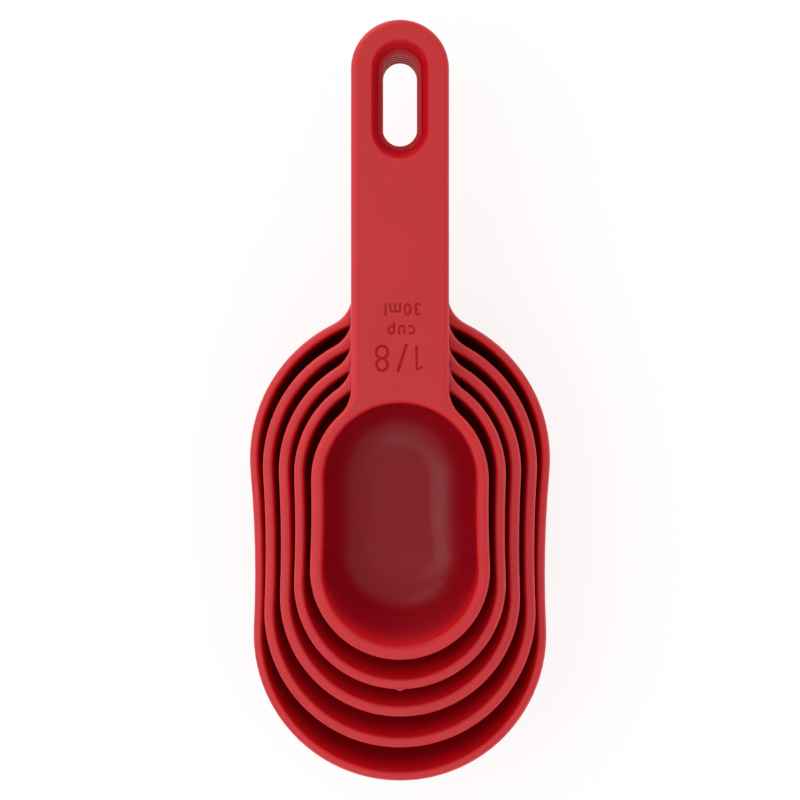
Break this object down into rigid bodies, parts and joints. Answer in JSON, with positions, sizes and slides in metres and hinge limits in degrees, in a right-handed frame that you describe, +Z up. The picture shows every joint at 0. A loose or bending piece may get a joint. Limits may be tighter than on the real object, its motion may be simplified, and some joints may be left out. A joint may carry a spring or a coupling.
{
  "type": "measuring cup set",
  "caption": "Nested measuring cups, each a two-lobed scoop with a long channel handle; the handles lie on each other so that their hanging slots line up.",
  "frame": {"origin": "centre of the stacked set's outline, on the surface that the largest cup stands on", "axes": "+X across the handle, +Y from the bowls to the handle's end, +Z up out of the bowls"},
  "size_m": [0.08, 0.2002, 0.0577],
  "materials": {
    "red_polypropylene": "injection-moulded polypropylene, deep red through and through, fine semi-matte surface with a soft sheen"
  },
  "bodies": {
    "one": {"one_cup": "red_polypropylene"},
    "half": {"half_cup": "red_polypropylene"},
    "third": {"third_cup": "red_polypropylene"},
    "quarter": {"quarter_cup": "red_polypropylene"},
    "eighth": {"eighth_cup": "red_polypropylene"}
  },
  "joints": [
    {"name": "half_lift", "type": "slide", "parent": "one", "child": "half", "axis": [0, 0, 1], "range_m": [0, 0.05]},
    {"name": "third_lift", "type": "slide", "parent": "half", "child": "third", "axis": [0, 0, 1], "range_m": [0, 0.05]},
    {"name": "quarter_lift", "type": "slide", "parent": "third", "child": "quarter", "axis": [0, 0, 1], "range_m": [0, 0.05]},
    {"name": "eighth_lift", "type": "slide", "parent": "quarter", "child": "eighth", "axis": [0, 0, 1], "range_m": [0, 0.05]}
  ]
}
